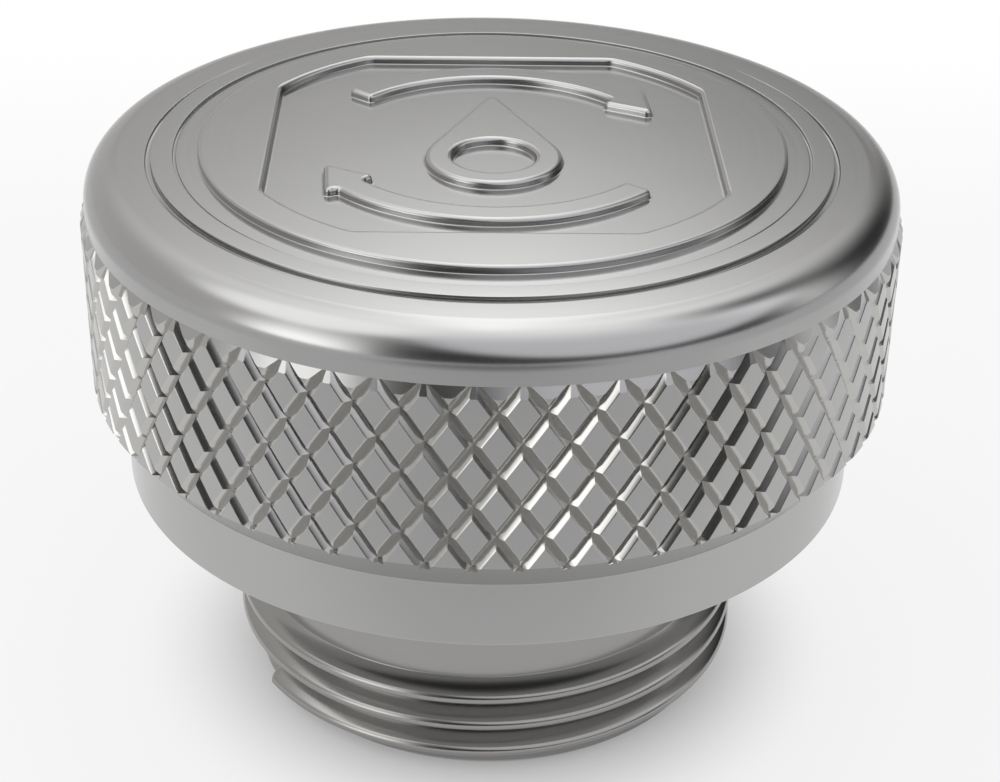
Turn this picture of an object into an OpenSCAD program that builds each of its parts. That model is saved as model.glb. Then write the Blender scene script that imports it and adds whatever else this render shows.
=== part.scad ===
// Screw-in oil filler cap: a turned metal cap with a diamond-knurled grip,
// a hollow threaded stem and a rubber ring that seals under the head.
// The axis is Z, the end of the stem is at Z = 0 and the top faces +Z.

/* [Head] */
// Diameter of the grip over the knurl's diamonds
knurl_d = 50; // [46:0.5:60]
// How far the smooth rim above the knurl lies inside the diamonds
rim_inset = 0.3; // [0.1:0.05:0.4]
// Radius of the rounded top edge
rim_round = 2.1; // [1:0.1:3]
// Height of the smooth rim between the rounded edge and the knurl
rim_h = 0.8; // [0.4:0.1:2]
// Height of the head from its underside to the flat outer face
head_h = 20.5; // [19:0.5:26]
// Height of the plain skirt below the knurl
skirt_h = 4.2; // [2:0.1:5.5]
// How far the skirt lies inside the diamonds
skirt_inset = 1.9; // [1:0.1:3]
// Height of the taper between the skirt and the knurl
taper_h = 2.3; // [1:0.1:3]

/* [Knurl] */
// Number of diamonds round the head
knurl_count = 60; // [40:1:72]
// Height between two rows of groove crossings
knurl_step = 1.92; // [1.6:0.02:2.4]
// Depth of the grooves
knurl_depth = 0.42; // [0.3:0.01:0.6]
// Width of a groove, measured level round the head
groove_w = 0.82; // [0.5:0.01:1.2]
// Distance from the rim down to the first row of crossings
knurl_first = 1.58; // [1.2:0.02:1.9]
// Height of the chamfer at the knurl's upper end
knurl_chamfer = 0.6; // [0.3:0.05:1]

/* [Top face] */
// Width of the flat outer face inside the rounded edge
face_w = 1.65; // [1:0.05:3]
// Width of the raised ring
ring_w = 1.3; // [1:0.05:3]
// Height of the raised ring above the outer face
ring_h = 0.22; // [0.16:0.01:1]
// Width of the narrow groove between the ring and the outer face
ring_groove_w = 0.35; // [0.2:0.05:0.6]
// Depth of that groove below the outer face
ring_groove_depth = 0.2; // [0.1:0.05:0.5]
// Width of the channel between the ring and the centre disc
channel_w = 1.5; // [1:0.05:3]
// Height of the channel's floor above the outer face
channel_h = 0.1; // [0:0.01:0.15]
// Height of the centre disc above the outer face
disc_h = 0.6; // [0.56:0.01:1]
// Radius of the disc's top edge
disc_round = 0.2; // [0.1:0.01:0.4]

/* [Relief] */
// Depth of the milled field in the disc
field_depth = 0.5; // [0.2:0.01:1]
// Width of the disc's border round the field
field_border = 2.25; // [1.5:0.05:3]
// How far the field's four flats cut into its round outline
field_flat = 2.2; // [0.5:0.1:3]
// Radius of the round end of the oil drop
drop_r = 4.1; // [3:0.1:5]
// Distance from the middle of the round end to the drop's tip
drop_tip = 10; // [7:0.1:11]
// Distance from the cap's axis down to the middle of the round end
drop_shift = 2.7; // [1:0.1:4]
// Radius of the hollow in the drop
drop_hollow = 2.5; // [1:0.1:2.9]
// Middle radius of the two turning arrows
arrow_r = 10.9; // [9:0.1:11.4]
// Width of the arrows' shafts
arrow_w = 1.9; // [1:0.1:2.4]
// Length of the arrows' heads
arrow_head = 3.4; // [2:0.1:5]

/* [Stem] */
// Length of the stem below the head
stem_h = 15; // [13:0.5:25]
// Outer diameter of the thread
thread_d = 33; // [30:0.5:36]
// Pitch of the thread
thread_pitch = 2; // [1.6:0.1:2.5]
// Turns of thread, run-outs included
thread_turns = 2.56; // [2:0.02:3.2]
// Height of the first crest above the stem's end
thread_start = 1.65; // [1.5:0.05:3]
// Thickness of the stem's wall under the thread
stem_wall = 2.77; // [1.5:0.1:5]
// Thickness of the metal between the bore and the flat outer face
crown = 9.5; // [3:0.5:15]
// Radius in the corner of the bore's floor
bore_round = 2; // [0.5:0.1:4]
// Chamfer on the stem's end
stem_chamfer = 0.4; // [0.2:0.05:0.8]

/* [Seal] */
// Thickness of the rubber ring
seal_w = 3; // [2:0.1:3.2]
// Depth of the seat that holds the ring on the neck
seat_depth = 0.33; // [0.1:0.01:0.6]
// Room left in the seat below the ring
seat_room = 0.4; // [0.1:0.05:1]
// How far the ring is pressed flat where it bears on the cap
seal_press = 0.08; // [0.02:0.01:0.2]
// Depth of the recess in the head's underside that locates the ring
recess_depth = 0.3; // [0.1:0.05:0.8]
// Room left in that recess round the ring
recess_room = 0.3; // [0.1:0.05:1]

/* [Hidden] */
$fn = 96;

// Colours of turned aluminium and of black rubber
metal = [0.66, 0.65, 0.64];
rubber = [0.09, 0.09, 0.1];

// Levels above the stem's end
top_z = stem_h + head_h;
skirt_top_z = stem_h + skirt_h;
knurl_low_z = skirt_top_z + taper_h;
knurl_high_z = top_z - rim_round - rim_h;
disc_top_z = top_z + disc_h;
bore_top_z = top_z - crown;

// Radii of the head, from the outside in
knurl_r = knurl_d / 2;
rim_r = knurl_r - rim_inset;
skirt_r = knurl_r - skirt_inset;
face_r = rim_r - rim_round;
ring_groove_r = face_r - face_w;
ring_outer_r = ring_groove_r - ring_groove_w;
ring_inner_r = ring_outer_r - ring_w;
disc_r = ring_inner_r - channel_w;
field_r = disc_r - field_border;

// Radii of the stem
thread_r = thread_d / 2;
thread_angle = 60;
root_share = 1.2269 / 2;
neck_r = thread_r - root_share * thread_pitch;
bore_r = neck_r - stem_wall;
seat_r = neck_r - seat_depth;
recess_r = seat_r + seal_w + recess_room;
recess_z = stem_h + recess_depth;
seat_low_z = recess_z - seal_w - seat_room;

// The knurl: grooves of two families cross on level rows
floor_r = knurl_r - knurl_depth;
pitch_angle = 360 / knurl_count;
land_share = 1 - groove_w / (PI * knurl_d / knurl_count);
land_half_angle = pitch_angle / 2 * land_share;
land_half_h = knurl_step * land_share;
first_row_z = knurl_high_z - knurl_first;
// Depth below the grooves of the core that carries the knurled band, and of the band's own bore
core_depth = 0.4;
band_wall = 1.2;
// The band ends on the taper, this far below the floors of the grooves
groove_margin = 0.1;
band_low_r = floor_r - groove_margin;
band_low_z = knurl_low_z - (knurl_r - band_low_r) * taper_h / skirt_inset;
top_row = -ceil(knurl_first / knurl_step);
low_row = ceil((first_row_z - band_low_z) / knurl_step);
// How far the cutting shapes reach past what they cut
overrun = 0.5;

// The thread's ridge: facets in a turn, the angles over which it rises from its blunt start and
// fades at its upper end, and how deep its foot is set into the neck
thread_facets = 60;
blunt_angle = 6;
runout_angle = 25;
start_angle = 215;
foot_depth = 0.18;
foot_lift = 0.05;
crest_share = 1 / 16;

// Angles at which the two turning arrows start, and how far each shaft runs
arrow_angles = [40, 220];
arrow_sweep = 100;
outline_steps = 12;

// Points on an arc about [x, y], from one angle to another
function arc(x, y, r, from, to, steps = outline_steps) =
    [for (i = [0 : steps]) let (a = from + (to - from) * i / steps) [x + r * cos(a), y + r * sin(a)]];

// Half of the section through the turned body, with the groove for the knurled band
module body_section() {
    core_r = floor_r - core_depth;
    polygon(concat(
        [[0, disc_top_z]],
        arc(disc_r - disc_round, disc_top_z - disc_round, disc_round, 90, 0),
        [[disc_r, top_z + channel_h], [ring_inner_r, top_z + channel_h]],
        [[ring_inner_r, top_z + ring_h], [ring_outer_r, top_z + ring_h]],
        [[ring_outer_r, top_z - ring_groove_depth], [ring_groove_r, top_z - ring_groove_depth]],
        [[ring_groove_r, top_z]],
        arc(face_r, top_z - rim_round, rim_round, 90, 0),
        [[rim_r, knurl_high_z], [core_r, knurl_high_z], [core_r, band_low_z]],
        [[band_low_r, band_low_z], [skirt_r, skirt_top_z], [skirt_r, stem_h]],
        [[recess_r, stem_h], [recess_r, recess_z], [seat_r, recess_z]],
        [[seat_r, seat_low_z], [neck_r, seat_low_z]],
        [[neck_r, stem_chamfer], [neck_r - stem_chamfer, 0], [bore_r, 0]],
        arc(bore_r - bore_round, bore_top_z - bore_round, bore_round, 0, 90),
        [[0, bore_top_z]]
    ));
}

// Limits of the knurled band: a chamfer under the rim and the taper above the skirt
module band_limits() {
    chamfer_rise = knurl_chamfer * overrun / rim_inset;
    taper_rise = overrun * taper_h / skirt_inset;
    rotate_extrude() polygon([
        [0, knurl_high_z],
        [rim_r, knurl_high_z],
        [knurl_r + overrun, knurl_high_z - knurl_chamfer - chamfer_rise],
        [knurl_r + overrun, knurl_low_z + taper_rise],
        [band_low_r, band_low_z],
        [0, band_low_z]
    ]);
}

// Diamonds between two families of V-grooves, as one ring. Each crossing of grooves has five points:
// the crossing itself, then the left, right, upper and lower corners of the diamond to its right.
module diamond_ring() {
    inner_r = floor_r - band_wall;
    rows = low_row - top_row;
    // Side corners reach the full radius, and the other two lie in the same plane
    mid_r = knurl_r * cos(land_half_angle);
    function odd(row) = abs(row) % 2;
    function crossing_angle(col, row) = (col + odd(row) / 2) * pitch_angle;
    function spot(r, angle, z) = [r * cos(angle), r * sin(angle), z];
    function unit_points(col, row) =
        let (a = crossing_angle(col, row), m = a + pitch_angle / 2, z = first_row_z - row * knurl_step) [
            spot(floor_r, a, z),
            spot(knurl_r, m - land_half_angle, z),
            spot(knurl_r, m + land_half_angle, z),
            spot(mid_r, m, z + land_half_h),
            spot(mid_r, m, z - land_half_h)
        ];
    outer = [for (row = [top_row : low_row]) for (col = [0 : knurl_count - 1]) each unit_points(col, row)];
    inner = [for (row = [top_row, low_row]) for (col = [0 : knurl_count - 1])
        spot(inner_r, crossing_angle(col, row), first_row_z - row * knurl_step)];
    function at(col, row, part) = ((row - top_row) * knurl_count + col % knurl_count) * 5 + part;
    function in(col, low) = len(outer) + low * knurl_count + col % knurl_count;
    function quad(a, b, c, d) = [[a, b, c], [a, c, d]];
    // Crossings straight above and below a diamond
    function above(col, row) = at(col + odd(row), row - 1, 0);
    function below(col, row) = at(col + odd(row), row + 1, 0);
    function upper_half(col, row) = concat(
        [[at(col, row, 1), at(col, row, 3), at(col, row, 2)]],
        quad(at(col, row, 0), above(col, row), at(col, row, 3), at(col, row, 1)),
        quad(above(col, row), at(col + 1, row, 0), at(col, row, 2), at(col, row, 3)));
    function lower_half(col, row) = concat(
        [[at(col, row, 1), at(col, row, 2), at(col, row, 4)]],
        quad(at(col + 1, row, 0), below(col, row), at(col, row, 4), at(col, row, 2)),
        quad(below(col, row), at(col, row, 0), at(col, row, 1), at(col, row, 4)));
    function rim_face(col, row, low) =
        [in(col + 1, low), at(col + 1, row, 0), at(col, row, 2), at(col, row, 1), at(col, row, 0), in(col, low)];
    cols = [0 : knurl_count - 1];
    faces = concat(
        [for (row = [top_row + 1 : low_row]) for (col = cols) each upper_half(col, row)],
        [for (row = [top_row : low_row - 1]) for (col = cols) each lower_half(col, row)],
        [for (col = cols) rim_face(col, top_row, 0)],
        [for (col = cols) let (f = rim_face(col, low_row, 1)) [for (i = [5 : -1 : 0]) f[i]]],
        [for (col = cols) each quad(in(col + 1, 0), in(col, 0), in(col, 1), in(col + 1, 1))]);
    polyhedron(concat(outer, inner), faces, convexity = 4);
}

// One ridge of a 60 degree thread, which rises out of the neck and sinks back into it
module thread_ridge() {
    foot_r = neck_r - foot_depth;
    crest_half = thread_pitch * crest_share;
    foot_half = crest_half + (thread_r - foot_r) * tan(thread_angle / 2);
    last = round(thread_turns * thread_facets);
    rise = blunt_angle / 360 * thread_facets;
    runout = runout_angle / 360 * thread_facets;
    // Share of the full height that the crest has at a facet
    function height_share(i) = min(1, i / rise, (last - i) / runout);
    function section(i) =
        let (
            a = start_angle + 360 * i / thread_facets,
            z = thread_start + thread_pitch * i / thread_facets,
            r = foot_r + foot_lift + (thread_r - foot_r - foot_lift) * height_share(i)
        ) [for (p = [[foot_r, -foot_half], [r, -crest_half], [r, crest_half], [foot_r, foot_half]])
            [p[0] * cos(a), p[0] * sin(a), z + p[1]]];
    points = [for (i = [0 : last]) each section(i)];
    function side(i, k) =
        let (a = 4 * i + k, b = 4 * i + (k + 1) % 4) [[b, b + 4, a + 4], [b, a + 4, a]];
    faces = concat(
        [[0, 3, 2, 1], [for (k = [0 : 3]) 4 * last + k]],
        [for (i = [0 : last - 1]) for (k = [0 : 3]) each side(i, k)]);
    polyhedron(points, faces, convexity = 4);
}

// Outline of the sunk field: a circle with four flats
module field_outline() {
    flats = 2 * (field_r - field_flat);
    intersection() {
        circle(r = field_r);
        square(flats, center = true);
    }
}

// An oil drop with its tip to the rear, hollowed in its round end
module drop_outline() {
    touch = acos(drop_r / drop_tip);
    translate([0, -drop_shift]) difference() {
        union() {
            circle(r = drop_r);
            polygon([
                [0, 0],
                [drop_r * sin(touch), drop_r * cos(touch)],
                [0, drop_tip],
                [-drop_r * sin(touch), drop_r * cos(touch)]
            ]);
        }
        circle(r = drop_hollow);
    }
}

// A curved arrow that points clockwise, in the direction that closes the cap
module arrow_outline(angle) {
    outer = arrow_r + arrow_w / 2;
    inner = arrow_r - arrow_w / 2;
    head_angle = atan(arrow_head / arrow_r);
    rotate(angle) {
        polygon(concat(
            arc(0, 0, outer, 0, arrow_sweep),
            arc(0, 0, inner, arrow_sweep, 0)
        ));
        polygon([
            [outer + arrow_w / 2, 0],
            [inner - arrow_w / 2, 0],
            [arrow_r * cos(head_angle), -arrow_r * sin(head_angle)]
        ]);
    }
}

// Metal that is milled away from the centre disc
module field_cut() {
    translate([0, 0, disc_top_z - field_depth])
        linear_extrude(field_depth + overrun) difference() {
            field_outline();
            drop_outline();
            for (angle = arrow_angles) arrow_outline(angle);
        }
}

module cap_body() {
    color(metal) union() {
        difference() {
            rotate_extrude() body_section();
            field_cut();
        }
        intersection() {
            diamond_ring();
            band_limits();
        }
        thread_ridge();
    }
}

// The rubber ring, pressed flat against the neck and against the floor of its recess
module seal_ring() {
    color(rubber) rotate_extrude() intersection() {
        translate([seat_r + seal_w / 2 - seal_press, recess_z - seal_w / 2 + seal_press])
            circle(d = seal_w);
        translate([seat_r, recess_z - seal_w]) square(seal_w);
    }
}

cap_body();
seal_ring();
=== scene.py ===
import math

import bmesh
import bpy
import numpy as np
from mathutils import Matrix, Vector
from mathutils.geometry import delaunay_2d_cdt


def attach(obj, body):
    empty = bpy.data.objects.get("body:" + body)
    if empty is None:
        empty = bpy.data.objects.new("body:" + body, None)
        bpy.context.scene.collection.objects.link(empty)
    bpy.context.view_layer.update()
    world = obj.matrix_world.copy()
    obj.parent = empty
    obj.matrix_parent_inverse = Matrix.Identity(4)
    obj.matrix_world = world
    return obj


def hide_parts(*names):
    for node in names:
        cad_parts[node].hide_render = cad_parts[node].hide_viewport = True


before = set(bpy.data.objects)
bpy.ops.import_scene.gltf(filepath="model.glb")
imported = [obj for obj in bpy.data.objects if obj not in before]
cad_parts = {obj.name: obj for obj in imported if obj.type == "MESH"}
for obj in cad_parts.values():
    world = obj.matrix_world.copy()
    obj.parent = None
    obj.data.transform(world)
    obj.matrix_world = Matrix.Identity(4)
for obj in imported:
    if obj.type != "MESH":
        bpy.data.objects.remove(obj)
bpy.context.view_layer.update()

# All lengths are in millimetres until a mesh is made, apart from those of the floor.
millimetre = 0.001
tolerance = {
    "cut": 1e-7,       # a corner this near to a cut counts as on it
    "level": 1e-6,     # for points that lie on one level
    "angle": 1e-4,     # degrees, between the points of a ring
    "uncut": 1e-4,     # for faces that the grooves leave alone
    "weld": 6e-4,      # corners closer than this are joined
    "sliver": 1e-5,
}
# material indices on the cap body, in the order of the finishes; the knurled one is lighter with painted light,
# the threaded one darker with painted shade
slots = {"turned": 0, "knurled": 1, "threaded": 2, "milled": 3}


def arcPoints(x, y, radius, start, end, steps):
    angles = np.radians(np.linspace(start, end, steps + 1))
    return [(x + radius * math.cos(a), y + radius * math.sin(a)) for a in angles]


def quadsBetween(rings):
    # quads from each closed ring of points to the next
    after = np.roll(rings, -1, axis=1)
    return np.stack([rings[:-1], after[:-1], after[1:], rings[1:]], axis=2).reshape(-1, 4, 3)


def turnedPatch(profile, columns):
    # a profile of (radius, height) points, turned once round
    angles = np.arange(columns) * 2 * math.pi / columns
    return quadsBetween(np.array([[(r * math.cos(a), r * math.sin(a), z) for a in angles]
                                  for r, z in profile]))


def splitAt(triangles, values):
    # cuts triangles along the line where values is zero: the parts below it and the parts above it
    values = np.where(abs(values) < tolerance["cut"], 0, values)
    below = triangles[(values <= 0).all(axis=1)]
    above = triangles[(values >= 0).all(axis=1) & (values > 0).any(axis=1)]
    crossed = (values < 0).any(axis=1) & (values > 0).any(axis=1)
    parts = {-1: [], 1: []}
    for corners, level in zip(triangles[crossed], values[crossed]):
        for side in parts:
            ring = []
            for k in range(3):
                a, b, va, vb = corners[k], corners[(k + 1) % 3], level[k], level[(k + 1) % 3]
                if va * side >= 0:
                    ring.append(a)
                if va * vb < 0:
                    ring.append(a + (b - a) * va / (va - vb))
            parts[side] += [(ring[0], ring[k], ring[k + 1]) for k in range(1, len(ring) - 1)]
    return [np.concatenate([whole, np.array(parts[side]).reshape(-1, 3, 3)])
            for whole, side in ((below, -1), (above, 1))]


def edgeRing(triangles, level):
    # (angle, height, radius) points that lie on a level, once each and in order
    points = triangles.reshape(-1, 3)
    points = points[abs(points[:, 1] - level) < tolerance["level"]]
    points[:, 0] %= 360
    points = points[np.argsort(points[:, 0])]
    near = tolerance["angle"]
    kept = [points[0]]
    for point in points[1:]:
        if point[0] - kept[-1][0] > near and kept[0][0] + 360 - point[0] > near:
            kept.append(point)
    return np.array(kept)


def fromTurn(points):
    # (angle, height, radius) to (x, y, z)
    angle, radius = np.radians(points[..., 0]), points[..., 2]
    return np.stack([radius * np.cos(angle), radius * np.sin(angle), points[..., 1]], axis=-1)


def zipRings(first, second):
    # triangles between two rings of (angle, height, radius) points
    faces, i, j = [], 0, 0
    at = lambda ring, k: ring[k % len(ring)] + np.array([360 * (k // len(ring)), 0, 0])
    while i < len(first) or j < len(second):
        if j >= len(second) or (i < len(first) and at(first, i + 1)[0] <= at(second, j + 1)[0]):
            faces.append((at(first, i), at(first, i + 1), at(second, j)))
            i += 1
        else:
            faces.append((at(first, i), at(second, j + 1), at(second, j)))
            j += 1
    return np.array(faces)


def turnedRing(radius, height, columns):
    return np.array([(360 * k / columns, height, radius) for k in range(columns)])


def makePiece(name, patches, sharpAngle):
    # one closed mesh out of (faces, material index) patches, with its seams joined
    shape = bmesh.new()
    for faces, slot in patches:
        for corners in faces:
            made = shape.faces.new([shape.verts.new(Vector(c) * millimetre) for c in corners])
            made.material_index = slot
            made.smooth = True
    bmesh.ops.remove_doubles(shape, verts=shape.verts, dist=tolerance["weld"] * millimetre)
    bmesh.ops.dissolve_degenerate(shape, edges=shape.edges, dist=tolerance["sliver"] * millimetre)
    bmesh.ops.recalc_face_normals(shape, faces=shape.faces)
    openEdges = sum(not e.is_manifold for e in shape.edges)
    mesh = bpy.data.meshes.new(name)
    shape.to_mesh(mesh)
    shape.free()
    mesh.set_sharp_from_angle(angle=math.radians(sharpAngle))
    piece = bpy.data.objects.new(name, mesh)
    bpy.context.scene.collection.objects.link(piece)
    even = piece.modifiers.new("EvenNormals", "WEIGHTED_NORMAL")
    even.keep_sharp = True
    even.mode = "FACE_AREA_WITH_ANGLE"      # both halves of a split quad then count alike
    triangles = sum(len(p.vertices) - 2 for p in mesh.polygons)
    print(name, len(mesh.vertices), "vertices", triangles, "triangles", openEdges, "open edges")
    return piece


# Cap body: head, top face and stem are one turned piece.
turning = {
    "columns": 360, "sharpAngle": 22,
    "headTop": 35.5,          # outer flat face
    "discTop": 36.1, "discRadius": 17.8, "discRound": 0.2,
    "channelFloor": 35.6, "channelOuter": 19.3,
    "channelLine": (0.18, 0.08, 0.03),      # width, depth and nose of the fine line along the ring's foot
    "ringTop": 35.72, "ringOuter": 20.6,
    "grooveFloor": 35.3, "grooveOuter": 20.95,
    "footFillet": 0.06,       # left by the tool's nose at the foot of each step
    "edgeBreak": 0.05,
    "flatMargin": 0.04,       # narrow flat strip beside each round edge, which keeps the shading even
    "faceRadius": 22.6, "rimRound": 2.1,
    "underside": 15.0, "skirtRadius": 23.1, "skirtTop": 19.2, "skirtBreak": 0.16,
    "recessRadius": 18.243, "recessTop": 15.3,
    "seatRadius": 14.94, "seatLow": 11.9,
    "stemRadius": 15.2731, "stemChamfer": 0.4,
    "boreRadius": 12.5031, "boreTop": 26.0, "boreRound": 2.0,
    "boreRings": (0.5, 0.15),               # shares of the bore's radius, on its floor
    "edgeSteps": 3, "breakSteps": 4, "discSteps": 6, "boreSteps": 8, "rimSteps": 24,
}
knurl = {
    "count": 60, "step": 1.92, "depth": 0.42, "grooveWidth": 0.82,
    "edgeBreak": 0.085,       # width of the worn edge along each diamond
    "flatPoints": 5,          # across the flat of a diamond
    "outerRadius": 25.0, "rimRadius": 24.7,
    "top": 32.6, "chamfer": 0.6, "firstRow": 31.02,
    "low": 21.5, "taperSlope": 1.9 / 2.3, "runIn": 20.871,
}
thread = {
    "radius": 16.5, "pitch": 2.0, "turns": 2.58, "start": 1.611, "startAngle": 208.0,
    "crestRound": 0.42, "rootRound": 0.05, "bluntAngle": 4.0, "fadeAngle": 25.0,
    "flankShift": 0.13,       # from the middle of each flank to the one point on it
    "columns": 360, "crestSteps": 6, "top": 7.9, "low": 0.55,
}
# Narrow bands that join patches whose columns don't agree.
seamWidth = {"rim": 0.12, "taper": 0.1, "threadTop": 0.15, "threadLow": 0.1}


def chamferRadius(z):
    k = knurl
    return k["rimRadius"] + (k["top"] - z) * (k["outerRadius"] - k["rimRadius"]) / k["chamfer"]


def taperRadius(z):
    return knurl["outerRadius"] - (knurl["low"] - z) * knurl["taperSlope"]


def diamondCell():
    # Grooves lie along whole numbers of two skew coordinates p and q, so a diamond is one square of them.
    # Gives both coordinates and the depth at each point, and the triangles between the points.
    k = knurl
    spacing = 2 * math.pi * k["outerRadius"] / k["count"]
    half = k["grooveWidth"] / spacing / 2
    worn = k["edgeBreak"] / spacing
    inner = np.linspace(half + worn / 2, 1 - half - worn / 2, k["flatPoints"])
    lines = np.concatenate([[0, half - worn / 2], inner, [1 - half + worn / 2, 1]])
    wallEnd = k["depth"] * worn / 2 / half
    across = np.array([k["depth"], wallEnd] + [0] * len(inner) + [wallEnd, k["depth"]])
    n = len(lines)
    p, q = np.meshgrid(lines, lines, indexing="ij")
    deep = np.maximum(*np.meshgrid(across, across, indexing="ij"))
    faces = []
    for i in range(n - 1):
        for j in range(n - 1):
            a, b, c, d = i * n + j, (i + 1) * n + j, (i + 1) * n + j + 1, i * n + j + 1
            # hips run from the crossings towards the middle of the diamond
            rising = (i < n // 2) == (j < n // 2)
            faces += [(a, b, c), (a, c, d)] if rising else [(a, b, d), (b, c, d)]
    return p, q, deep, np.array(faces)


def knurledBand():
    k = knurl
    p, q, deep, faces = diamondCell()
    cells = []
    lowest = math.floor((k["runIn"] - k["firstRow"]) / k["step"]) - 1
    highest = math.ceil((k["top"] - k["firstRow"]) / k["step"]) + 1
    for m in range(lowest, highest + 1):
        for i in range(k["count"]):
            turn = (p + q) / 2 + i - m / 2
            level = (p - q) / 2 + m / 2
            cell = np.stack([turn * 360 / k["count"], k["firstRow"] + level * 2 * k["step"],
                             k["outerRadius"] - deep], axis=-1)
            cells.append(cell.reshape(-1, 3)[faces])
    band = np.concatenate(cells)
    for limit in (chamferRadius, taperRadius):
        under, over = splitAt(band, band[..., 2] - limit(band[..., 1]))
        over[..., 2] = limit(over[..., 1])
        band = np.concatenate([under, over])
    band = splitAt(band, band[..., 1] - k["top"])[0]
    band = splitAt(band, k["runIn"] - band[..., 1])[0]
    height = band[..., 1]
    uncut = np.minimum(np.minimum(chamferRadius(height), taperRadius(height)), k["outerRadius"])
    turned = (abs(band[..., 2] - uncut) < tolerance["uncut"]).all(axis=1)
    return band, turned


def threadProfile():
    # height of the thread above its root, across one pitch, with a round crest and round roots
    t = thread
    slope = math.tan(math.radians(60))
    apex = t["radius"] - turning["stemRadius"] + t["crestRound"]
    rootHalf = apex / slope
    crest = arcPoints(0, apex - 2 * t["crestRound"], t["crestRound"], 30, 150, t["crestSteps"])
    tangent = t["rootRound"] * math.tan(math.radians(30))
    # three points stand for the small round at the root
    side = [(t["pitch"] / 2, 0), (rootHalf + tangent, 0),
            (rootHalf + tangent * 0.3, tangent * 0.22),
            (rootHalf - tangent / 2, tangent * math.sqrt(3) / 2),
            (rootHalf / 2 + t["flankShift"], (rootHalf / 2 - t["flankShift"]) * slope)]
    return side + crest + [(-x, h) for x, h in reversed(side)]


def threadedStem():
    t = thread
    profile = threadProfile()
    first = math.floor((t["low"] - t["start"] - t["pitch"] / 2) / t["pitch"] * t["columns"]) - 1
    last = math.ceil((t["top"] - t["start"] + t["pitch"] / 2) / t["pitch"] * t["columns"]) + 1
    turns = np.arange(first, last + 1) / t["columns"]
    blunt = np.clip(turns * 360 / t["bluntAngle"], 0, 1)
    fade = np.clip((t["turns"] - turns) * 360 / t["fadeAngle"], 0, 1)
    full = (blunt * blunt * (3 - 2 * blunt)) * (fade * fade * (3 - 2 * fade))
    rows = np.array([[(t["startAngle"] + 360 * u, t["start"] + t["pitch"] * u - s,
                       turning["stemRadius"] + h * f) for u, f in zip(turns, full)] for s, h in profile])
    a, b, c, d = rows[:-1, :-1], rows[:-1, 1:], rows[1:, 1:], rows[1:, :-1]
    ridge = np.concatenate([np.stack([a, b, c], axis=2), np.stack([a, c, d], axis=2)]).reshape(-1, 3, 3)
    ridge = splitAt(ridge, ridge[..., 1] - t["top"])[0]
    return splitAt(ridge, t["low"] - ridge[..., 1])[0]


def headProfile():
    # from the rounded edge of the disc out and down to the rim line above the knurl
    t = turning
    f, e, few, some = t["footFillet"], t["edgeBreak"], t["edgeSteps"], t["breakSteps"]
    disc, channel, ring, groove = t["discRadius"], t["channelOuter"], t["ringOuter"], t["grooveOuter"]
    width, depth, nose = t["channelLine"]
    lineFloor = t["channelFloor"] - depth + nose
    steps = [(disc - t["discRound"] - t["flatMargin"], t["discTop"])]
    steps += arcPoints(disc - t["discRound"], t["discTop"] - t["discRound"], t["discRound"], 90, 0,
                       t["discSteps"])
    steps += arcPoints(disc + f, t["channelFloor"] + f, f, 180, 270, some)
    steps += arcPoints(channel - width - nose, t["channelFloor"] - nose, nose, 90, 0, few)
    steps += arcPoints(channel - width + nose, lineFloor, nose, 180, 270, few)
    steps += arcPoints(channel - nose, lineFloor, nose, 270, 360, few)
    steps += arcPoints(channel + e, t["ringTop"] - e, e, 180, 90, few)
    steps += arcPoints(ring - e, t["ringTop"] - e, e, 90, 0, few)
    steps += arcPoints(ring + f, t["grooveFloor"] + f, f, 180, 270, few)
    steps += arcPoints(groove - f, t["grooveFloor"] + f, f, 270, 360, few)
    steps += arcPoints(groove + e, t["headTop"] - e, e, 180, 90, few)
    steps += arcPoints(t["faceRadius"], t["headTop"] - t["rimRound"], t["rimRound"], 90, 0, t["rimSteps"])
    return steps + [(knurl["rimRadius"], knurl["top"] + seamWidth["rim"])]


def skirtProfile():
    # from the knurl's run-out down the skirt, in under the head and down the neck to the thread
    t = turning
    s, f, e, few = t["skirtBreak"], t["footFillet"], t["edgeBreak"], t["edgeSteps"]
    steps = [(taperRadius(z), z) for z in (knurl["runIn"] - seamWidth["taper"], t["skirtTop"] + f)]
    steps += [(t["skirtRadius"], t["skirtTop"] - f), (t["skirtRadius"], t["underside"] + s)]
    steps += arcPoints(t["skirtRadius"] - s, t["underside"] + s, s, 0, -90, t["breakSteps"])[1:]
    steps += [(t["recessRadius"] + s, t["underside"]), (t["recessRadius"], t["underside"] + s)]
    steps += arcPoints(t["recessRadius"] - f, t["recessTop"] - f, f, 0, 90, few)
    steps += arcPoints(t["seatRadius"] + f, t["recessTop"] - f, f, 90, 180, few)
    steps += [(t["seatRadius"], t["seatLow"]), (t["stemRadius"] - e, t["seatLow"])]
    return steps + [(t["stemRadius"], t["seatLow"] - e),
                    (t["stemRadius"], thread["top"] + seamWidth["threadTop"])]


def stemEndProfile():
    # from under the thread round the stem's end and up the bore to its floor
    t = turning
    c, e, inside = t["stemChamfer"], t["edgeBreak"], t["boreRadius"] - t["boreRound"]
    steps = [(t["stemRadius"], thread["low"] - seamWidth["threadLow"]), (t["stemRadius"], c),
             (t["stemRadius"] - c, 0), (t["boreRadius"] + e, 0), (t["boreRadius"], e),
             (t["boreRadius"], t["boreTop"] - t["boreRound"])]
    steps += arcPoints(inside, t["boreTop"] - t["boreRound"], t["boreRound"], 0, 90, t["boreSteps"])[1:]
    return steps + [(t["boreRadius"] * share, t["boreTop"]) for share in t["boreRings"]]


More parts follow.
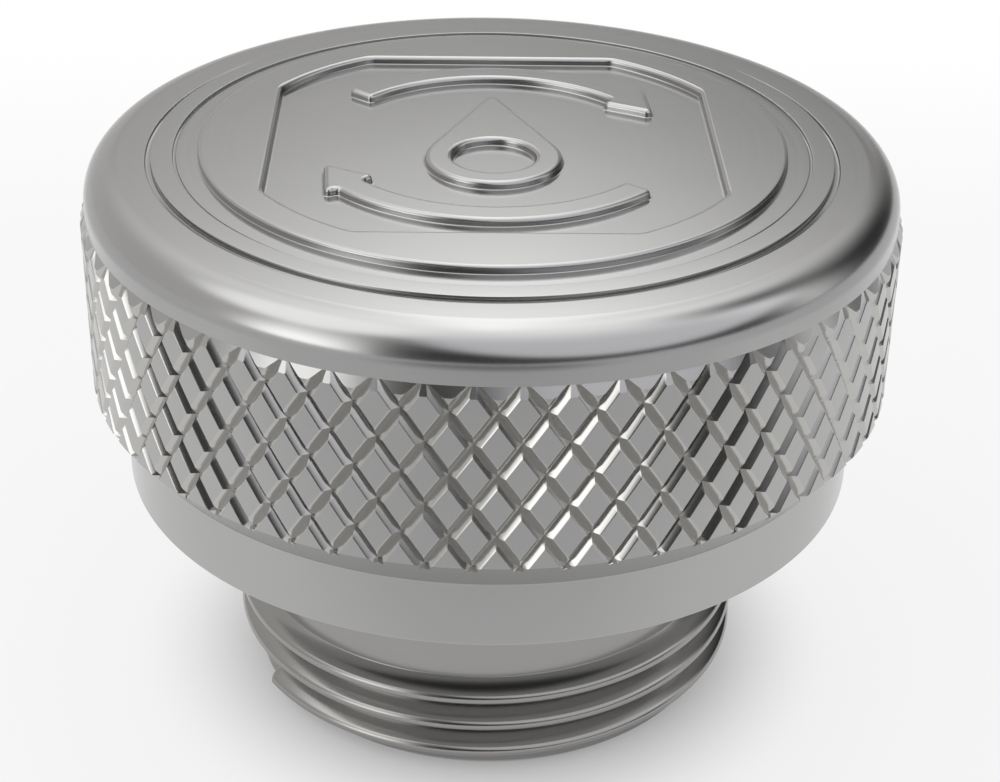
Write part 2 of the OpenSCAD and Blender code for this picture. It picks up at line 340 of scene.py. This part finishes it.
# Relief in the disc: a sunk field with an oil drop between two arrows.
relief = {
    "fieldRadius": 15.55, "fieldFlat": 13.35, "fieldCorner": 1.2, "fieldSteps": 8,
    "depth": 0.5, "topRound": 0.27, "footRound": 0.1, "topSteps": 5, "footSteps": 3,
    "dropRadius": 4.1, "dropTip": 10.0, "dropShift": 2.7, "tipRound": 0.45, "dropSteps": 40,
    "dropHollow": 2.5, "hollowSteps": 36,
    "arrowRadius": 10.9, "arrowWidth": 1.9, "arrowHead": 3.4, "arrowSteps": 30,
    "arrowCorner": 0.315,     # a little more than topRound and the flat margin, which it has to hold
    "arrowAngles": (40, 220), "arrowSweep": 100,
    "cornerAngle": 14, "cornerSteps": 4,      # a corner has a step for each 14 degrees, and at least four
}


def roundedLoop(corners):
    # closed outline from (x, y, corner radius) points, each corner turned into a short arc
    loop = []
    count = len(corners)
    for k, (x, y, radius) in enumerate(corners):
        here = Vector((x, y))
        if not radius:
            loop.append(here)
            continue
        back = (Vector(corners[k - 1][:2]) - here).normalized()
        ahead = (Vector(corners[(k + 1) % count][:2]) - here).normalized()
        opening = back.angle(ahead)
        reach = radius / math.tan(opening / 2)
        centre = here + (back + ahead).normalized() * radius / math.sin(opening / 2)
        start, end = here + back * reach - centre, here + ahead * reach - centre
        bend = math.degrees(math.pi - opening)
        steps = max(relief["cornerSteps"], math.ceil(bend / relief["cornerAngle"]))
        sweep = start.angle_signed(end)
        for i in range(steps + 1):
            a = -sweep * i / steps
            loop.append(centre + Vector((start.x * math.cos(a) - start.y * math.sin(a),
                                         start.x * math.sin(a) + start.y * math.cos(a))))
    return np.array([tuple(p) for p in loop])


def movedOut(loop, distance):
    # the outline moved to its right-hand side by a distance, corner by corner
    ahead = np.roll(loop, -1, axis=0) - loop
    ahead /= np.linalg.norm(ahead, axis=1)[:, None]
    back = np.roll(ahead, 1, axis=0)
    normal = np.stack([ahead[:, 1] + back[:, 1], -ahead[:, 0] - back[:, 0]], axis=1)
    normal /= (normal ** 2).sum(axis=1)[:, None] / 2
    return loop + normal * distance


def fieldLoop():
    r = relief
    reach = math.degrees(math.acos(r["fieldFlat"] / r["fieldRadius"]))
    ends = (0, r["fieldSteps"])
    corners = []
    for turn in (0, 90, 180, 270):
        arc = arcPoints(0, 0, r["fieldRadius"], turn + reach, turn + 90 - reach, r["fieldSteps"])
        corners += [(x, y, r["fieldCorner"] if k in ends else 0) for k, (x, y) in enumerate(arc)]
    return roundedLoop(corners)


def dropLoops():
    r = relief
    touch = math.degrees(math.acos(r["dropRadius"] / r["dropTip"]))
    y = -r["dropShift"]
    body = arcPoints(0, y, r["dropRadius"], 90 + touch, 450 - touch, r["dropSteps"])
    outline = [(a, b, 0) for a, b in body] + [(0, y + r["dropTip"], r["tipRound"])]
    hollow = arcPoints(0, y, r["dropHollow"], 0, 360, r["hollowSteps"])[:-1]
    return roundedLoop(outline), np.array(hollow)


def arrowLoop(turn):
    r = relief
    middle, side, c = r["arrowRadius"], r["arrowWidth"] / 2, r["arrowCorner"]
    outer, inner = middle + side, middle - side
    lean = math.atan(r["arrowHead"] / middle)
    ends = (0, r["arrowSteps"])
    corners = []
    for radius, start, end in ((outer, 0, r["arrowSweep"]), (inner, r["arrowSweep"], 0)):
        arc = arcPoints(0, 0, radius, start, end, r["arrowSteps"])
        corners += [(x, y, c if k in ends else 0) for k, (x, y) in enumerate(arc)]
    corners += [(inner - side, 0, c), (middle * math.cos(lean), -middle * math.sin(lean), c),
                (outer + side, 0, c)]
    spin = math.radians(turn)
    return roundedLoop([(x * math.cos(spin) - y * math.sin(spin), x * math.sin(spin) + y * math.cos(spin), c)
                        for x, y, c in corners])


def steppedEdge(loop):
    # wall from the disc's top down to the field's floor, with a round edge above and a fillet at its foot
    r, top, margin = relief, turning["discTop"], turning["flatMargin"]
    upper, lower, floor = r["topRound"], r["footRound"], turning["discTop"] - r["depth"]
    rows = [(-upper - margin, top)]
    rows += [(upper * (math.sin(a) - 1), top - upper * (1 - math.cos(a)))
             for a in np.radians(np.linspace(0, 90, r["topSteps"] + 1))]
    rows += [(lower * (1 - math.cos(a)), floor + lower * (1 - math.sin(a)))
             for a in np.radians(np.linspace(0, 90, r["footSteps"] + 1))]
    rows += [(lower + margin, floor)]
    rings = np.array([[(x, y, z) for x, y in movedOut(loop, out)] for out, z in rows])
    return quadsBetween(rings), rings[0, :, :2], rings[-1, :, :2]


def flatArea(loops, height):
    # triangles of a flat face between its outline and the outlines of its holes
    points, edges = [], []
    for loop in loops:
        start = len(points)
        points += [Vector(p) for p in loop]
        edges += [(start + k, start + (k + 1) % len(loop)) for k in range(len(loop))]
    found = delaunay_2d_cdt(points, edges, [], 0, tolerance["cut"])
    triangles = np.array([tuple(p) for p in found[0]])[np.array(found[2])]
    middle = triangles.mean(axis=1)
    inside = np.zeros(len(triangles), bool)
    for loop in loops:
        for (xa, ya), (xb, yb) in zip(loop, np.roll(loop, -1, axis=0)):
            spans = (ya > middle[:, 1]) != (yb > middle[:, 1])
            if ya != yb:
                inside ^= spans & (middle[:, 0] < xa + (middle[:, 1] - ya) * (xb - xa) / (yb - ya))
    kept = triangles[inside]
    return np.concatenate([kept, np.full(kept.shape[:2] + (1,), height)], axis=2)


def reliefPatches():
    t = turning
    top, floor = t["discTop"], t["discTop"] - relief["depth"]
    drop, hollow = dropLoops()
    # an outline that runs anticlockwise has its own inside on the left
    fieldWall, fieldTop, fieldFloor = steppedEdge(fieldLoop()[::-1])
    dropWall, dropTop, dropFloor = steppedEdge(drop)
    hollowWall, hollowTop, hollowFloor = steppedEdge(hollow[::-1])
    arrowWalls, arrowTops, arrowFloors = zip(*[steppedEdge(arrowLoop(turn)) for turn in relief["arrowAngles"]])
    discEdge = turnedRing(t["discRadius"] - t["discRound"] - t["flatMargin"], top, t["columns"])
    discEdge = fromTurn(discEdge)[:, :2]
    walls = [fieldWall, dropWall, hollowWall, *arrowWalls]
    tops = [flatArea([discEdge, fieldTop], top), flatArea([dropTop, hollowTop], top)]
    tops += [flatArea([arrow], top) for arrow in arrowTops]
    floors = [flatArea([fieldFloor, dropFloor, *arrowFloors], floor), flatArea([hollowFloor], floor)]
    return walls, tops, floors


def makeCapBody():
    columns = turning["columns"]
    band, turned = knurledBand()
    stem = threadedStem()
    rim = edgeRing(band, knurl["top"])
    rimLine = rim.copy()
    rimLine[:, 2] = knurl["rimRadius"]
    head, skirt, end = headProfile(), skirtProfile(), stemEndProfile()
    ring = lambda point: turnedRing(point[0], point[1], columns)
    seams = [(zipRings(rimLine, ring(head[-1])), "turned"),
             (zipRings(edgeRing(band, knurl["runIn"]), ring(skirt[0])), "turned"),
             (zipRings(edgeRing(stem, thread["top"]), ring(skirt[-1])), "threaded"),
             (zipRings(edgeRing(stem, thread["low"]), ring(end[0])), "threaded")]
    # the grooves end against a low shoulder at the rim line
    near = tolerance["level"]
    quads = [(rim[k - 1], rim[k], rimLine[k], rimLine[k - 1]) for k in range(len(rim))]
    shoulder = [fromTurn(np.array(c)) for c in quads if c[2][2] - c[1][2] > near or c[3][2] - c[0][2] > near]
    floorRing = fromTurn(ring(end[-1]))
    boreFloor = [(floorRing[k - 1], floorRing[k], (0, 0, end[-1][1])) for k in range(columns)]
    walls, tops, floors = reliefPatches()
    patches = [(turnedPatch(head, columns), "turned"), (turnedPatch(skirt[:-3], columns), "turned"),
               (turnedPatch(skirt[-4:], columns), "threaded"), (turnedPatch(end, columns), "turned"),
               (shoulder, "knurled"), (boreFloor, "turned"),
               (fromTurn(band[turned]), "turned"), (fromTurn(band[~turned]), "knurled"),
               (fromTurn(stem), "threaded")]
    patches += [(fromTurn(faces), finishAndPaintedTone) for faces, finishAndPaintedTone in seams]
    patches += [(faces, "turned") for faces in tops] + [(faces, "milled") for faces in walls + floors]
    return makePiece("cap_body_turned", [(faces, slots[finishAndPaintedTone]) for faces, finishAndPaintedTone in patches],
                     turning["sharpAngle"])


print("stage 1: cap body")
capBody = makeCapBody()


# Sealing ring: round section, pressed flat where it bears on the neck and on the head's underside.
ringRubber = {
    "section": 1.5, "neck": 14.94, "underside": 15.3, "pressed": 0.08,
    "clear": 0.002,           # between the rubber and both walls
    "flashWidth": 0.12, "flashHeight": 0.03,      # mould line left round the outside
    "columns": 240, "steps": 40, "sharpAngle": 40,
}


def makeSealRing():
    s = ringRubber
    middle = (s["neck"] + s["section"] - s["pressed"], s["underside"] - s["section"] + s["pressed"])
    profile = []
    for k in range(s["steps"]):
        angle = 2 * math.pi * k / s["steps"]
        flash = s["flashHeight"] * math.exp(-(math.sin(angle) * s["section"] / s["flashWidth"]) ** 2)
        reach = s["section"] - s["flashHeight"] + (flash if math.cos(angle) > 0 else 0)
        r, z = middle[0] + reach * math.cos(angle), middle[1] + reach * math.sin(angle)
        profile.append((max(r, s["neck"] + s["clear"]), min(z, s["underside"] - s["clear"])))
    return makePiece("seal_ring_moulded", [(turnedPatch(profile + profile[:1], s["columns"]), 0)],
                     s["sharpAngle"])


print("stage 2: seal ring")
sealRing = makeSealRing()

for piece, node, slot in ((capBody, "cap_body", "metal"), (sealRing, "seal_ring", "rubber")):
    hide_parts(node)
    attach(piece, "root")


def linear(hexCode):
    channels = [int(hexCode[k:k + 2], 16) / 255 for k in (1, 3, 5)]
    return tuple(c / 12.92 if c <= 0.04045 else ((c + 0.055) / 1.055) ** 2.4 for c in channels) + (1.0,)


def addNode(tree, kind, inputs=None, **settings):
    # a node with its settings, and for each input a value or the socket to link to it
    node = tree.nodes.new(kind)
    for name, value in settings.items():
        setattr(node, name, value)
    for key, value in (inputs or {}).items():
        if isinstance(value, bpy.types.NodeSocket):
            tree.links.new(value, node.inputs[key])
        else:
            node.inputs[key].default_value = value
    return node


def newMaterial(name):
    material = bpy.data.materials.new(name)
    material.use_nodes = True
    tree = material.node_tree
    tree.nodes.clear()
    return material, tree


# Bare aluminium, by how each face was cut. The knurled copy is lighter, painted light for the light that
# bounces inside the grooves, and the threaded copy is darker, painted shade for the shade under the head. The
# lines are drawn about three times as coarse as the tool's real feed and the grain twice as coarse as the
# metal's, so that they just show.
# Line spacing, grain and cloud sizes and both depths are in millimetres.
finishesAndPaintedTones = {
    "TurnedAluminium": {
        "light": "#B1B1B0", "dark": "#ADADAC", "roughness": (0.205, 0.218),
        "lineSpacing": 0.3, "lineStrength": 0.025, "lineDepth": 0.001,
        "grainSize": 0.2, "grainStrength": 0.01, "grainDepth": 0.001, "cloudSize": 9.0},
    # lighter than the turned metal: painted light in the grooves of the knurl
    "KnurledAluminiumPaintedLight": {
        "light": "#BEBDBA", "dark": "#B7B6B3", "roughness": (0.185, 0.205),
        "lineSpacing": 0.35, "lineStrength": 0.06, "lineDepth": 0.001,
        "grainSize": 0.2, "grainStrength": 0.02, "grainDepth": 0.001, "cloudSize": 4.0},
    # darker than the turned metal: painted shade on the thread and neck under the head
    "ThreadedAluminiumPaintedShade": {
        "light": "#A09F9D", "dark": "#9B9A98", "roughness": (0.2, 0.21),
        "lineSpacing": 0.3, "lineStrength": 0.02, "lineDepth": 0.001,
        "grainSize": 0.2, "grainStrength": 0.004, "grainDepth": 0.001, "cloudSize": 5.0},
    "MilledAluminium": {
        "light": "#AFAFAE", "dark": "#A9A9A8", "roughness": (0.212, 0.225),
        "lineSpacing": 0.3, "lineStrength": 0.02, "lineDepth": 0.001,
        "grainSize": 0.2, "grainStrength": 0.01, "grainDepth": 0.001, "cloudSize": 6.0},
}


def aluminium(name, finishAndPaintedTone):
    # Aluminium alloy, cut on a lathe or mill and left bare: a plain grey metal with a soft sheen,
    # faint tool lines and hardly any change of colour. The knurled copy is lighter, painted light, and the
    # threaded copy darker, painted shade.
    material, tree = newMaterial(name)
    place = addNode(tree, "ShaderNodeTexCoord").outputs["Object"]
    axes = addNode(tree, "ShaderNodeSeparateXYZ", {0: place})
    flat = addNode(tree, "ShaderNodeCombineXYZ", {0: axes.outputs[0], 1: axes.outputs[1]})
    radius = addNode(tree, "ShaderNodeVectorMath", {0: flat.outputs[0]}, operation="LENGTH")
    # radius less height changes along every turned surface, so its steps are the tool's lines
    along = addNode(tree, "ShaderNodeMath", {0: radius.outputs["Value"], 1: axes.outputs[2]},
                    operation="SUBTRACT")
    lines = addNode(tree, "ShaderNodeTexNoise", {
        "W": along.outputs[0], "Scale": 1 / (finishAndPaintedTone["lineSpacing"] * millimetre), "Detail": 2.0},
        noise_dimensions="1D")
    grain, clouds = (addNode(tree, "ShaderNodeTexNoise", {
        "Vector": place, "Scale": 1 / (finishAndPaintedTone[size] * millimetre), "Detail": detail})
        for size, detail in (("grainSize", 3.0), ("cloudSize", 2.0)))
    colour = addNode(tree, "ShaderNodeMix", {
        "Factor": clouds.outputs["Fac"], "A": linear(finishAndPaintedTone["dark"]), "B": linear(finishAndPaintedTone["light"])},
        data_type="RGBA")
    # the noise seldom leaves 0.3 to 0.7
    rough = addNode(tree, "ShaderNodeMapRange", {
        "Value": lines.outputs["Fac"], "From Min": 0.3, "From Max": 0.7,
        "To Min": finishAndPaintedTone["roughness"][0], "To Max": finishAndPaintedTone["roughness"][1]})
    cut = addNode(tree, "ShaderNodeBump", {
        "Height": lines.outputs["Fac"], "Strength": finishAndPaintedTone["lineStrength"],
        "Distance": finishAndPaintedTone["lineDepth"] * millimetre})
    speck = addNode(tree, "ShaderNodeBump", {
        "Height": grain.outputs["Fac"], "Strength": finishAndPaintedTone["grainStrength"],
        "Distance": finishAndPaintedTone["grainDepth"] * millimetre, "Normal": cut.outputs["Normal"]})
    metal = addNode(tree, "ShaderNodeBsdfPrincipled", {
        "Metallic": 1.0, "Base Color": colour.outputs["Result"],
        "Roughness": rough.outputs["Result"], "Normal": speck.outputs["Normal"]})
    addNode(tree, "ShaderNodeOutputMaterial", {"Surface": metal.outputs[0]})
    return material


rubberSkin = {
    "dark": "#161617", "light": "#232324", "roughness": (0.45, 0.6), "ior": 1.52,
    "bloomSize": 2.5, "poreSize": 0.15, "poreStrength": 0.15, "poreDepth": 0.02,     # sizes in millimetres
}


def mouldedRubber():
    # Nitrile rubber from a polished mould: nearly black, with a dull broad sheen and a fine bloom
    s = rubberSkin
    material, tree = newMaterial("MouldedNitrileRubber")
    place = addNode(tree, "ShaderNodeTexCoord").outputs["Object"]
    bloom, pores = (addNode(tree, "ShaderNodeTexNoise", {
        "Vector": place, "Scale": 1 / (s[size] * millimetre), "Detail": detail})
        for size, detail in (("bloomSize", 4.0), ("poreSize", 2.0)))
    colour = addNode(tree, "ShaderNodeMix", {
        "Factor": bloom.outputs["Fac"], "A": linear(s["dark"]), "B": linear(s["light"])}, data_type="RGBA")
    rough = addNode(tree, "ShaderNodeMapRange", {
        "Value": bloom.outputs["Fac"], "To Min": s["roughness"][0], "To Max": s["roughness"][1]})
    skin = addNode(tree, "ShaderNodeBump", {
        "Height": pores.outputs["Fac"], "Strength": s["poreStrength"], "Distance": s["poreDepth"] * millimetre})
    rubber = addNode(tree, "ShaderNodeBsdfPrincipled", {
        "Base Color": colour.outputs["Result"], "IOR": s["ior"],
        "Roughness": rough.outputs["Result"], "Normal": skin.outputs["Normal"]})
    addNode(tree, "ShaderNodeOutputMaterial", {"Surface": rubber.outputs[0]})
    return material


print("stage 3: materials")
for name, finishAndPaintedTone in finishesAndPaintedTones.items():
    capBody.data.materials.append(aluminium(name, finishAndPaintedTone))
sealRing.data.materials.append(mouldedRubber())


# Lengths in metres. The board glows from within, seen directly and in the metal only: painted light, least at
# the cap's foot, which paints a darker shadow there, fading at the sides and the front and brighter behind. Its
# paint greys towards the front, a painted shade that the metal reflects and which keeps the grooves of the
# knurl dark.
floorBoard = {
    # the front colour is a painted shade, a grey that the metal reflects in its grooves and flanks
    "size": 3.0, "light": "#D5D5D5", "dark": "#D3D3D3", "paintedFrontShade": "#848484", "roughness": 0.9,
    "cloudSize": 1 / 12,
    "footGlow": 0.0, "openGlow": 0.79, "footReach": (0.010, 0.024), "glowSides": (0.065, 0.10),
    "glowFront": (-0.062, -0.022), "glowBack": (0.060, 0.120), "backGain": 1.27,
    "frontMiddle": (0, -0.23, 0), "frontStretch": (1.35, 1.0, 1.0), "frontReach": (0.07, 0.17),
}


def floorPaintWithShade(tree, place):
    # matt white paint, with a painted shade that greys it towards the front
    b = floorBoard
    clouds = addNode(tree, "ShaderNodeTexNoise", {"Vector": place, "Scale": 1 / b["cloudSize"], "Detail": 2.0})
    colour = addNode(tree, "ShaderNodeMix", {
        "Factor": clouds.outputs["Fac"], "A": linear(b["dark"]), "B": linear(b["light"])}, data_type="RGBA")
    away = addNode(tree, "ShaderNodeVectorMath", {0: place, 1: b["frontMiddle"]}, operation="SUBTRACT")
    away = addNode(tree, "ShaderNodeVectorMath", {0: away.outputs[0], 1: b["frontStretch"]},
                   operation="MULTIPLY")
    away = addNode(tree, "ShaderNodeVectorMath", {0: away.outputs[0]}, operation="LENGTH")
    # painted shade: grey rises towards the front of the board
    paintedFrontShade = addNode(tree, "ShaderNodeMapRange", {
        "Value": away.outputs["Value"], "From Min": b["frontReach"][0], "From Max": b["frontReach"][1],
        "To Min": 1.0, "To Max": 0.0}, interpolation_type="SMOOTHSTEP")
    colour = addNode(tree, "ShaderNodeMix", {
        "Factor": paintedFrontShade.outputs["Result"], "A": colour.outputs["Result"], "B": linear(b["paintedFrontShade"])},
        data_type="RGBA")
    return addNode(tree, "ShaderNodeBsdfPrincipled", {
        "Base Color": colour.outputs["Result"], "Roughness": b["roughness"], "Specular IOR Level": 0.0})


def floorPaintedLight(tree, place):
    # the share of painted white light at each place of the board: seen directly and in the metal, it lights
    # nothing.
    # It is least at the cap's foot, a painted shadow, falls off at the sides and front, and is brighter behind.
    b = floorBoard
    axes = addNode(tree, "ShaderNodeSeparateXYZ", {0: place})
    foot = addNode(tree, "ShaderNodeVectorMath", {0: place}, operation="LENGTH").outputs["Value"]
    aside = addNode(tree, "ShaderNodeMath", {0: axes.outputs[0]}, operation="ABSOLUTE").outputs[0]
    ray = addNode(tree, "ShaderNodeLightPath")
    seen = addNode(tree, "ShaderNodeMath", {0: ray.outputs["Is Camera Ray"], 1: ray.outputs["Is Glossy Ray"]},
                   operation="MAXIMUM")
    share = addNode(tree, "ShaderNodeMath", {0: seen.outputs[0], 1: ray.outputs["Is Transmission Ray"]},
                    operation="MAXIMUM")
    # foot: a painted shadow round the cap; sides and front: the painted light falls off; back: the painted
    # light rises
    for along, (start, end), (first, last) in (
            (foot, b["footReach"], (b["footGlow"], b["openGlow"])),
            (aside, b["glowSides"], (1, 0)),
            (axes.outputs[1], b["glowFront"], (0, 1)),
            (axes.outputs[1], b["glowBack"], (1, b["backGain"]))):
        part = addNode(tree, "ShaderNodeMapRange", {
            "Value": along, "From Min": start, "From Max": end, "To Min": first, "To Max": last},
            interpolation_type="SMOOTHSTEP")
        share = addNode(tree, "ShaderNodeMath", {0: share.outputs[0], 1: part.outputs["Result"]},
                        operation="MULTIPLY")
    return share.outputs[0]


def makeFloor():
    mesh = bpy.data.meshes.new("floor")
    half = floorBoard["size"] / 2
    corners = [(-half, -half, 0), (half, -half, 0), (half, half, 0), (-half, half, 0)]
    mesh.from_pydata(corners, [], [(0, 1, 2, 3)])
    floor = bpy.data.objects.new("floor", mesh)
    bpy.context.scene.collection.objects.link(floor)
    material, tree = newMaterial("BoardWithPaintedLightAndShade")
    place = addNode(tree, "ShaderNodeTexCoord").outputs["Object"]
    paint = floorPaintWithShade(tree, place)
    white = addNode(tree, "ShaderNodeEmission", {"Color": linear("#FFFFFF"), "Strength": 1.0})
    board = addNode(tree, "ShaderNodeMixShader", {
        0: floorPaintedLight(tree, place), 1: paint.outputs[0], 2: white.outputs[0]})
    addNode(tree, "ShaderNodeOutputMaterial", {"Surface": board.outputs[0]})
    mesh.materials.append(material)


# Soft studio panels round the cap, painted over each other in this order. Azimuths and elevations are
# in degrees, as (middle, half width, soft edge), and a disc is (azimuth, elevation, half width, soft
# edge). A level of 1 lights a white board to white.
studioPanels = {
    "room": {"level": 0.04, "colour": "#FFFFFF"},
    "leftWall": {"level": 0.68, "colour": "#FFFDFB",
                 "azimuth": (148.8, 84.8, 21.6), "elevation": (40, 64, 3)},
    "leftGlow": {"level": 1.79, "colour": "#FFFFFF", "disc": (-170.5, 58.7, 21.8, 7.9)},
    "frontScreen": {"level": 1.03, "colour": "#FAFAFF", "disc": (-48.7, 49.9, 40.4, 5.7)},
    "leftWindow": {"level": 2.63, "colour": "#FFFFFF",
                   "azimuth": (-140.9, 14.8, 9.3), "elevation": (-1, 27.3, 35)},
    "rightStrip": {"level": 2.13, "colour": "#FFFFFF",
                   "azimuth": (2.5, 0.6, 23.9), "elevation": (24.6, 24.4, 3)},
    "overhead": {"level": 1.87, "colour": "#FFFFFF", "disc": (79.5, 70.2, 28.7, 29.4)},
    "rightShade": {"level": 0.06, "colour": "#FFFFFF", "disc": (18.6, 50.8, 9.5, 12.4)},
    "backShade": {"level": 0.12, "colour": "#FFFFFF",
                  "azimuth": (82.4, 17.2, 18.4), "elevation": (20.7, 3.9, 1.4)},
    "backGlow": {"level": 2.37, "colour": "#FFFFFF",
                 "azimuth": (88.5, 6.2, 7.2), "elevation": (57.4, 32.1, 0.6)},
}


def panelSpans(tree, way, panel):
    # for each edge that bounds a panel, the angle to it with the half width and the soft edge
    if "disc" in panel:
        a, e, half, soft = (math.radians(v) for v in panel["disc"])
        centre = (math.cos(e) * math.cos(a), math.cos(e) * math.sin(a), math.sin(e))
        near = addNode(tree, "ShaderNodeVectorMath", {0: way, 1: centre}, operation="DOT_PRODUCT")
        off = addNode(tree, "ShaderNodeMath", {0: near.outputs["Value"]}, operation="ARCCOSINE")
        return [(off.outputs[0], half, soft)]
    axes = addNode(tree, "ShaderNodeSeparateXYZ", {0: way})
    azimuth = addNode(tree, "ShaderNodeMath", {0: axes.outputs[1], 1: axes.outputs[0]}, operation="ARCTAN2")
    elevation = addNode(tree, "ShaderNodeMath", {0: axes.outputs[2]}, operation="ARCSINE")
    spans = []
    for angle, key in ((azimuth, "azimuth"), (elevation, "elevation")):
        middle, half, soft = (math.radians(v) for v in panel[key])
        off = addNode(tree, "ShaderNodeMath", {0: angle.outputs[0], 1: middle}, operation="SUBTRACT")
        off = addNode(tree, "ShaderNodeMath", {0: off.outputs[0], 1: -math.pi, 2: math.pi}, operation="WRAP")
        off = addNode(tree, "ShaderNodeMath", {0: off.outputs[0]}, operation="ABSOLUTE")
        spans.append((off.outputs[0], half, soft))
    return spans


def lightStudio():
    world = bpy.data.worlds.new("Studio")
    bpy.context.scene.world = world
    world.use_nodes = True
    tree = world.node_tree
    tree.nodes.clear()
    way = addNode(tree, "ShaderNodeTexCoord").outputs["Generated"]
    light = None
    for panel in studioPanels.values():
        tone = tuple(c * panel["level"] for c in linear(panel["colour"])[:3]) + (1.0,)
        if light is None:
            light = tone
            continue
        cover = 1.0
        for off, half, soft in panelSpans(tree, way, panel):
            edge = addNode(tree, "ShaderNodeMapRange", {
                "Value": off, "From Min": half - soft, "From Max": half + soft,
                "To Min": 1.0, "To Max": 0.0}, interpolation_type="SMOOTHSTEP")
            cover = addNode(tree, "ShaderNodeMath", {0: cover, 1: edge.outputs[0]},
                            operation="MULTIPLY").outputs[0]
        blend = addNode(tree, "ShaderNodeMix", {"Factor": cover, "A": light, "B": tone}, data_type="RGBA")
        light = blend.outputs["Result"]
    glow = addNode(tree, "ShaderNodeBackground", {"Color": light, "Strength": 1.0})
    addNode(tree, "ShaderNodeOutputWorld", {"Surface": glow.outputs[0]})


# Lengths in millimetres, angles in degrees: where the camera stands, and how it turns off its target.
photoView = {
    "distance": 129.9, "elevation": 22.953, "azimuth": -91.17, "target": 35.5,
    "pan": -0.294, "tilt": -6.583, "roll": -0.949,
    "focalPixels": 2122.3, "frameWidth": 1000, "sensor": 36.0, "clipStart": 10,
}


def placeCamera():
    v = photoView
    turn, rise = math.radians(v["azimuth"]), math.radians(v["elevation"])
    target = Vector((0, 0, v["target"]))
    out = Vector((math.cos(rise) * math.cos(turn), math.cos(rise) * math.sin(turn), math.sin(rise)))
    spot = target + v["distance"] * out
    ahead = (target - spot).normalized()
    right = ahead.cross(Vector((0, 0, 1))).normalized()
    up = right.cross(ahead)
    for angle, axis in ((v["pan"], "up"), (v["tilt"], "right"), (v["roll"], "ahead")):
        about = Matrix.Rotation(math.radians(angle), 3, {"up": up, "right": right, "ahead": ahead}[axis])
        ahead, right, up = about @ ahead, about @ right, about @ up
    data = bpy.data.cameras.new("photoCamera")
    data.sensor_width = v["sensor"]
    data.lens = v["focalPixels"] / v["frameWidth"] * v["sensor"]
    data.clip_start = v["clipStart"] * millimetre
    camera = bpy.data.objects.new("photoCamera", data)
    pose = Matrix((right, up, -ahead)).transposed().to_4x4()
    camera.matrix_world = Matrix.Translation(spot * millimetre) @ pose
    bpy.context.scene.collection.objects.link(camera)
    bpy.context.scene.camera = camera


print("stage 4: floor, light and camera")
makeFloor()
lightStudio()
placeCamera()
bpy.context.scene.view_settings.view_transform = "Standard"
